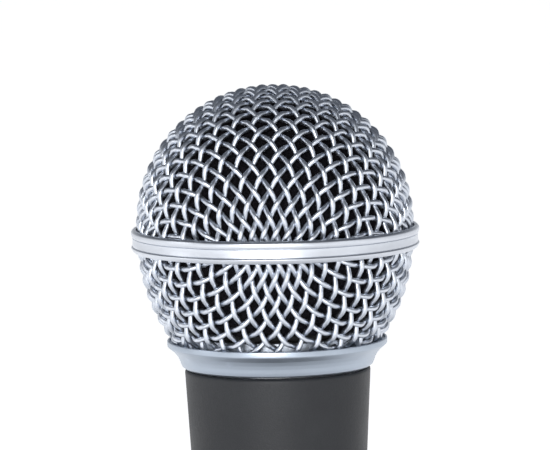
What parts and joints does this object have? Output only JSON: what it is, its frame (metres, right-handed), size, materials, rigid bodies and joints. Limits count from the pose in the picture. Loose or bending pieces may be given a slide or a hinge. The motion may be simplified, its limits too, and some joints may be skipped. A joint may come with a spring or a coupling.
{
  "type": "dynamic microphone",
  "caption": "Handheld dynamic vocal microphone with a ball grille of woven wire, a threaded collar, a tapered handle, a floating moving-coil capsule and a three-pin connector.",
  "frame": {"origin": "centre of the connector rim, on the plane that the microphone stands on", "axes": "+Z along the microphone's axis from the connector to the grille, +Y towards the connector's key, -Y towards the set screw"},
  "size_m": [0.051, 0.051, 0.162],
  "materials": {
    "grille_metal": "satin nickel plate",
    "handle_enamel": "fine matte enamel",
    "plated_steel": "plated",
    "can_aluminium": "drawn",
    "black_plastic": "moulded",
    "brass_parts": "bright",
    "black_rubber": "matte",
    "black_foam": "open-cell foam",
    "grey_felt": "felt",
    "board": "laminate",
    "magnet_alloy": "ground",
    "clear_film": "thin film",
    "copper_wire": "enamelled wire",
    "core_steel": "laminated",
    "adhesive": "cast",
    "red_insulation": "smooth",
    "black_insulation": "smooth",
    "yellow_insulation": "smooth",
    "green_insulation": "smooth"
  },
  "bodies": {
    "handle": {"handle_body": "handle_enamel", "isolation_ring": "black_rubber", "xlr_insert": "black_plastic", "xlr_pin_1": "grille_metal", "xlr_pin_2": "grille_metal", "xlr_pin_3": "grille_metal", "set_screw": "plated_steel", "ground_clip": "brass_parts", "transformer_core": "core_steel", "transformer_bobbin": "black_plastic", "transformer_winding": "copper_wire", "glue_plug": "adhesive", "capsule_lead_1": "red_insulation", "capsule_lead_2": "black_insulation", "output_lead_2": "yellow_insulation", "output_lead_3": "green_insulation"},
    "capsule": {"capsule_housing": "black_plastic", "rear_chamber": "can_aluminium", "vent_felt": "grey_felt", "terminal_board": "board", "capsule_terminal_1": "brass_parts", "capsule_terminal_2": "brass_parts", "yoke_cup": "plated_steel", "magnet": "magnet_alloy", "pole_piece": "plated_steel", "diaphragm_seat": "brass_parts", "front_cap": "plated_steel", "front_screen": "plated_steel", "screen_ring": "brass_parts"},
    "diaphragm_carrier": {"diaphragm": "clear_film", "voice_coil": "copper_wire"},
    "head_carrier": {"grille_sleeve": "grille_metal"},
    "grille_head": {"grille_dome": "grille_metal", "grille_bowl": "grille_metal", "grille_band": "grille_metal", "grille_collar": "grille_metal", "foam_liner": "black_foam"}
  },
  "joints": [
    {"name": "head_lift", "type": "slide", "parent": "handle", "child": "head_carrier", "axis": [0, 0, 1], "range_m": [0, 0.05]},
    {"name": "head_turn", "type": "hinge", "parent": "head_carrier", "child": "grille_head", "pos_m": [0, 0, 0.1117], "axis": [0, 0, 1], "range_deg": [0, 1440]},
    {"name": "capsule_float", "type": "slide", "parent": "handle", "child": "capsule", "axis": [0, 0, 1], "range_m": [-0.0008, 0.0008], "stiffness_N_per_m": 4000, "deforming": ["isolation_ring", "capsule_lead_1", "capsule_lead_2"]},
    {"name": "diaphragm_stroke", "type": "slide", "parent": "capsule", "child": "diaphragm_carrier", "axis": [0, 0, 1], "range_m": [-0.00025, 0.00025], "stiffness_N_per_m": 1000}
  ]
}
